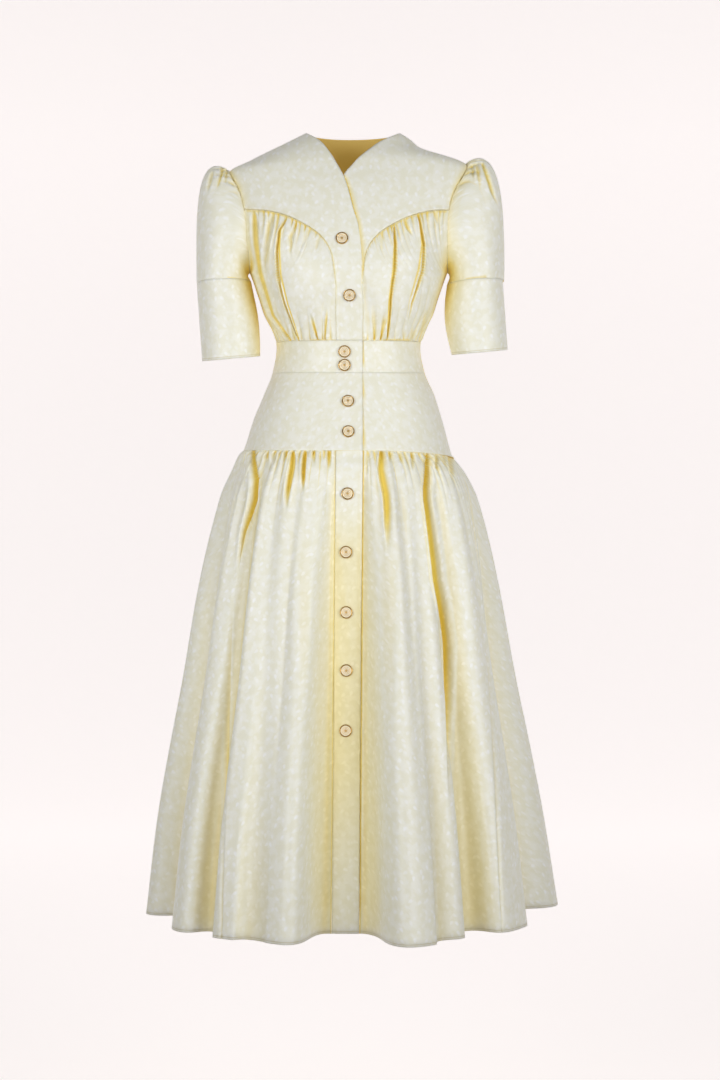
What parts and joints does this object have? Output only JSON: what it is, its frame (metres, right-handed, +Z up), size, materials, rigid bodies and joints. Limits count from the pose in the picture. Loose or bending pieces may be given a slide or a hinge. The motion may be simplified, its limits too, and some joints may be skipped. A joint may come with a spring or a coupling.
{
  "type": "button-front dress",
  "caption": "Midi dress, buttoned down the front: V neck and shaped yoke over gathered bodice, waistband, hip yoke, gathered skirt, puff-headed elbow sleeves.",
  "frame": {"origin": "where the wearer's shoulders hold the dress up: midway between the outer ends of the shoulder seams", "axes": "+Z up from the hem to the neck, front towards -Y, the wearer's left towards +X"},
  "size_m": [0.6526, 0.5913, 1.229],
  "materials": {
    "cloth": "soft satin jacquard",
    "button_metal": "polished"
  },
  "bodies": {
    "root": {"yoke_front_right": "cloth", "yoke_front_left": "cloth", "bodice_front_right": "cloth", "bodice_front_left": "cloth", "bodice_back": "cloth", "waistband_front_right": "cloth", "waistband_front_left": "cloth", "waistband_back": "cloth", "hip_yoke_front_right": "cloth", "hip_yoke_front_left": "cloth", "hip_yoke_back": "cloth", "skirt_front_right": "cloth", "skirt_front_left": "cloth", "skirt_back": "cloth", "skirt_band_right": "cloth", "skirt_band_left": "cloth", "sleeve_right": "cloth", "sleeve_left": "cloth", "cuff_right": "cloth", "cuff_left": "cloth", "button_1": "button_metal", "button_2": "button_metal", "button_3": "button_metal", "button_4": "button_metal", "button_5": "button_metal", "button_6": "button_metal", "button_7": "button_metal", "button_8": "button_metal", "button_9": "button_metal", "button_10": "button_metal", "button_11": "button_metal"}
  },
  "joints": []
}
